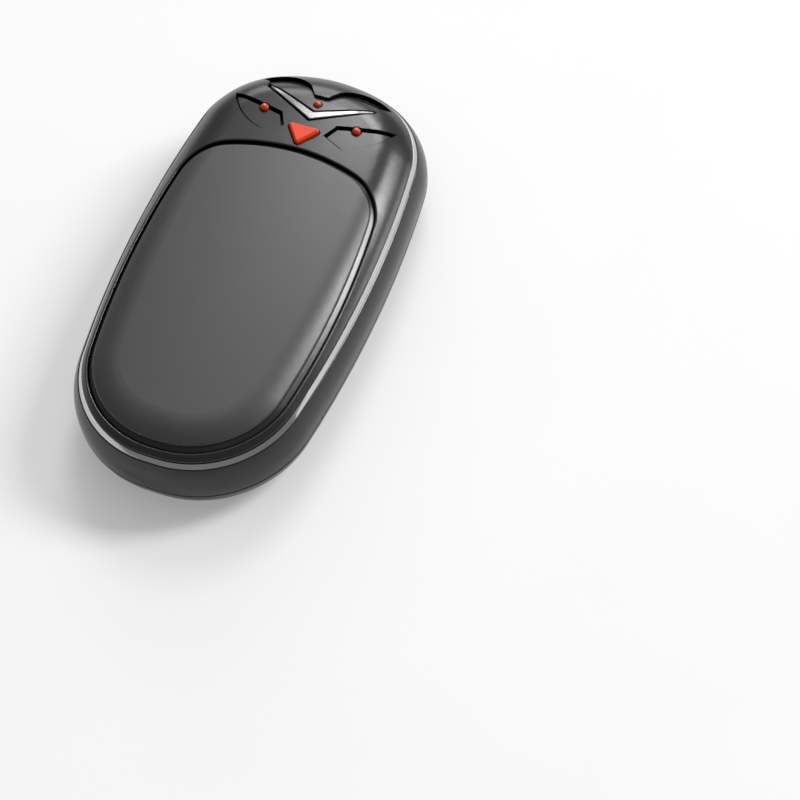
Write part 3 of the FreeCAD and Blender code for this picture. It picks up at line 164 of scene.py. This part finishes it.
# the plate gets painted shade on its sides down in the groove
plateLook = dict(colour=(0.045, 0.045, 0.046), drift=0.03, blotch=0.5 * mm, rough=0.38, roughDrift=0.02,
                 grain=0.14 * mm, grainDepth=0.003 * mm, metal=0.3, ior=1.65, crevice=1.2 * mm,
                 shut=0.55, open=0.9)
dress(finish("plateAnodised", plateLook), "heat_plate")

browLook = dict(colour=(0.19, 0.19, 0.193), rough=0.22, roughDrift=0.03, grain=0.2 * mm,
                grainDepth=0.002 * mm, metal=0.8)
dress(finish("browGloss", browLook), "brow_inlay")

buttonLook = dict(colour=(0.70, 0.045, 0.006), drift=0.04, rough=0.36, roughDrift=0.04, grain=0.2 * mm,
                  grainDepth=0.003 * mm, softEdge=0.12 * mm, ior=1.38)
dress(finish("buttonOrange", buttonLook), "power_button")

lensLook = dict(colour=(0.48, 0.039, 0.007), drift=0.06, rough=0.14, roughDrift=0.03, grain=0.3 * mm,
                grainDepth=0.002 * mm, coat=0.4)
dress(finish("lensOrange", lensLook),
      "indicator_lens_left", "indicator_lens_right", "indicator_lens_centre")
print("outer finishes set")

# inside the case
blackPartLook = dict(colour=(0.025, 0.025, 0.027), rough=0.55, roughDrift=0.06, grain=0.1 * mm,
                     grainDepth=0.006 * mm)
dress(finish("partBlack", blackPartLook),
      "switch_plunger", "tact_switch", "controller_chip", "socket_tongue", "thermistor")

boardLook = dict(colour=(0.02, 0.16, 0.07), rough=0.38, roughDrift=0.05, blotch=2 * mm, grain=0.5 * mm,
                 grainDepth=0.006 * mm, stretch=(1, 4, 1))
dress(finish("boardGreen", boardLook), "control_board", "protection_board")

adhesiveLook = dict(colour=(0.03, 0.03, 0.03), rough=0.8, roughDrift=0.08, grain=0.3 * mm,
                    grainDepth=0.02 * mm)
dress(finish("adhesiveTape", adhesiveLook), "plate_adhesive")

filmLook = dict(colour=(0.55, 0.27, 0.05), rough=0.3, roughDrift=0.05, blotch=5 * mm, grain=1.5 * mm,
                grainDepth=0.01 * mm)
dress(finish("filmAmber", filmLook), "heater_film")

ledLook = dict(colour=(0.85, 0.83, 0.70), drift=0.06, rough=0.3, roughDrift=0.05, grain=0.2 * mm,
               grainDepth=0.004 * mm)
dress(finish("ledWhite", ledLook), "indicator_leds")

ferriteLook = dict(colour=(0.12, 0.12, 0.125), drift=0.2, blotch=1 * mm, rough=0.7, roughDrift=0.08,
                   grain=0.1 * mm, grainDepth=0.015 * mm)
dress(finish("ferriteGrey", ferriteLook), "power_inductor")

ceramicLook = dict(colour=(0.48, 0.36, 0.22), rough=0.5, roughDrift=0.06, blotch=1 * mm, grain=0.15 * mm,
                   grainDepth=0.006 * mm)
dress(finish("ceramicTan", ceramicLook), "board_capacitors")

socketLook = dict(colour=(0.62, 0.62, 0.63), drift=0.06, rough=0.28, roughDrift=0.06, grain=0.15 * mm,
                  grainDepth=0.004 * mm, stretch=(1, 0.1, 1), metal=1)
dress(finish("socketSteel", socketLook), "charge_socket")

screwLook = dict(colour=(0.50, 0.50, 0.51), drift=0.08, rough=0.32, roughDrift=0.06, grain=0.2 * mm,
                 grainDepth=0.006 * mm, metal=1)
dress(finish("screwSteel", screwLook), "case_screws", "board_screws")

pouchLook = dict(colour=(0.70, 0.70, 0.72), drift=0.05, rough=0.36, roughDrift=0.06, blotch=6 * mm,
                 grain=2.5 * mm, grainDepth=0.05 * mm, metal=0.8)
dress(finish("pouchFoil", pouchLook), "battery_cell")

foamLook = dict(colour=(0.18, 0.18, 0.19), drift=0.25, blotch=0.8 * mm, rough=0.92, roughDrift=0.05,
                grain=0.6 * mm, grainDepth=0.25 * mm, grainStrength=0.8)
dress(finish("foamGrey", foamLook), "battery_pad", "pressure_foam")

sheetLook = dict(colour=(0.75, 0.72, 0.62), drift=0.08, blotch=2 * mm, rough=0.9, roughDrift=0.05,
                 grain=0.4 * mm, grainDepth=0.08 * mm, grainStrength=0.6, stretch=(1, 0.3, 1))
dress(finish("sheetFelt", sheetLook), "insulation_sheet")

leadLook = dict(rough=0.42, roughDrift=0.05, blotch=3 * mm, grain=0.5 * mm, grainDepth=0.006 * mm)
dress(finish("leadRed", dict(leadLook, colour=(0.60, 0.03, 0.03))), "battery_lead_positive")
dress(finish("leadBlack", dict(leadLook, colour=(0.03, 0.03, 0.03))), "battery_lead_negative")
dress(finish("leadWhite", dict(leadLook, colour=(0.75, 0.75, 0.73))), "heater_lead_left", "heater_lead_right")
print("inner finishes set")


# one for what the camera sees itself, or in or through a shiny surface, else nought
def seenRays(tree):
    rays = tree.nodes.new("ShaderNodeLightPath")
    anySeen = rays.outputs["Is Camera Ray"]
    for kind in ("Is Glossy Ray", "Is Transmission Ray"):
        either = tree.nodes.new("ShaderNodeMath")
        either.operation = "MAXIMUM"
        tree.links.new(anySeen, either.inputs[0])
        tree.links.new(rays.outputs[kind], either.inputs[1])
        anySeen = either.outputs["Value"]
    return anySeen


def liftWhereSeen(tree, strength, socket):
    level = tree.nodes.new("ShaderNodeMapRange")
    level.inputs["To Max"].default_value = strength
    tree.links.new(seenRays(tree), level.inputs["Value"])
    tree.links.new(level.outputs["Result"], socket)


# floor: pale paper, lifted to white where it is seen, open from below so that the back of the case shows
floorLook = dict(size=8.0, colour=(0.60, 0.60, 0.60), drift=0.01, blotch=50 * mm, rough=0.9, roughDrift=0.03,
                 grain=0.8 * mm, grainDepth=0.01 * mm, gloss=0.0, lift=0.26, height=-0.02 * mm)
bpy.ops.object.select_all(action="DESELECT")
bpy.ops.mesh.primitive_plane_add(size=floorLook["size"], location=(0, 0, floorLook["height"]))
floor = bpy.context.object
floor.name = "floor"
floorPaper = finish("floorPaper", floorLook)
paperTree = floorPaper.node_tree
paperShader = paperTree.nodes["Principled BSDF"]
paperShader.inputs["Specular IOR Level"].default_value = floorLook["gloss"]
paperShader.inputs["Emission Color"].default_value = (1, 1, 1, 1)
liftWhereSeen(paperTree, floorLook["lift"], paperShader.inputs["Emission Strength"])
underside = addNode(floorPaper, "ShaderNodeNewGeometry")
clear = addNode(floorPaper, "ShaderNodeBsdfTransparent")
paperSides = addNode(floorPaper, "ShaderNodeMixShader")
wire(floorPaper, underside.outputs["Backfacing"], paperSides.inputs["Fac"])
wire(floorPaper, paperShader.outputs["BSDF"], paperSides.inputs[1])
wire(floorPaper, clear.outputs["BSDF"], paperSides.inputs[2])
wire(floorPaper, paperSides.outputs["Shader"], paperTree.nodes["Material Output"].inputs["Surface"])
floor.data.materials.append(floorPaper)

# lamps: turn, rise and lean in degrees, width and height as shares of the distance, level as brightness
lampDistance = 2.2
lampSet = [
    dict(name="rightStrip", turn=41, rise=37, width=0.22, height=0.42, lean=-37, level=28),
    dict(name="backTop", turn=108, rise=58, width=0.50, height=0.40, lean=0, level=0.8),
    dict(name="topWide", turn=112, rise=66, width=1.10, height=0.90, lean=0, level=0.4),
    dict(name="backHigh", turn=100, rise=42, width=0.30, height=0.25, lean=0, level=13),
    dict(name="backLow", turn=110, rise=22, width=0.60, height=0.30, lean=0, level=4),
    dict(name="rightLow", turn=33, rise=6, width=0.40, height=0.12, lean=0, level=8),
]
for lamp in lampSet:
    light = bpy.data.lights.new(lamp["name"], "AREA")
    light.shape = "RECTANGLE"
    light.size = lamp["width"] * lampDistance
    light.size_y = lamp["height"] * lampDistance
    light.energy = lamp["level"] * math.pi * light.size * light.size_y
    holder = bpy.data.objects.new(lamp["name"], light)
    scene.collection.objects.link(holder)
    turn = math.radians(lamp["turn"])
    rise = math.radians(lamp["rise"])
    side = Vector((math.cos(rise) * math.cos(turn), math.cos(rise) * math.sin(turn), math.sin(rise)))
    holder.location = side * lampDistance
    holder.rotation_mode = "QUATERNION"
    lean = Quaternion((0, 0, 1), math.radians(lamp["lean"]))
    holder.rotation_quaternion = side.to_track_quat("Z", "Y") @ lean

# world: even light all round
worldLook = dict(colour=(1.0, 1.0, 1.0), strength=0.27)
world = bpy.data.worlds.new("studio")
scene.world = world
world.use_nodes = True
backdrop = world.node_tree.nodes["Background"]
backdrop.inputs["Color"].default_value = (*worldLook["colour"], 1)
backdrop.inputs["Strength"].default_value = worldLook["strength"]

# camera: its place and axes were fitted to the photograph's outlines
cameraFit = dict(place=(120.485 * mm, -193.355 * mm, 328.793 * mm), right=(0.935397, 0.350303, -0.048175),
                 down=(0.276905, -0.810408, -0.516297), ahead=(-0.219901, 0.469603, -0.855053), lens=87.87,
                 sensor=36, nearest=10 * mm)
cameraData = bpy.data.cameras.new("camera")
cameraData.lens = cameraFit["lens"]
cameraData.sensor_width = cameraFit["sensor"]
cameraData.clip_start = cameraFit["nearest"]
camera = bpy.data.objects.new("camera", cameraData)
scene.collection.objects.link(camera)
right, down, ahead = (Vector(cameraFit[key]) for key in ("right", "down", "ahead"))
cameraTurn = Matrix((right, -down, -ahead)).transposed()
camera.matrix_world = Matrix.Translation(cameraFit["place"]) @ cameraTurn.to_4x4()
scene.camera = camera
scene.view_settings.view_transform = "Standard"
print("camera, lamps and floor set")
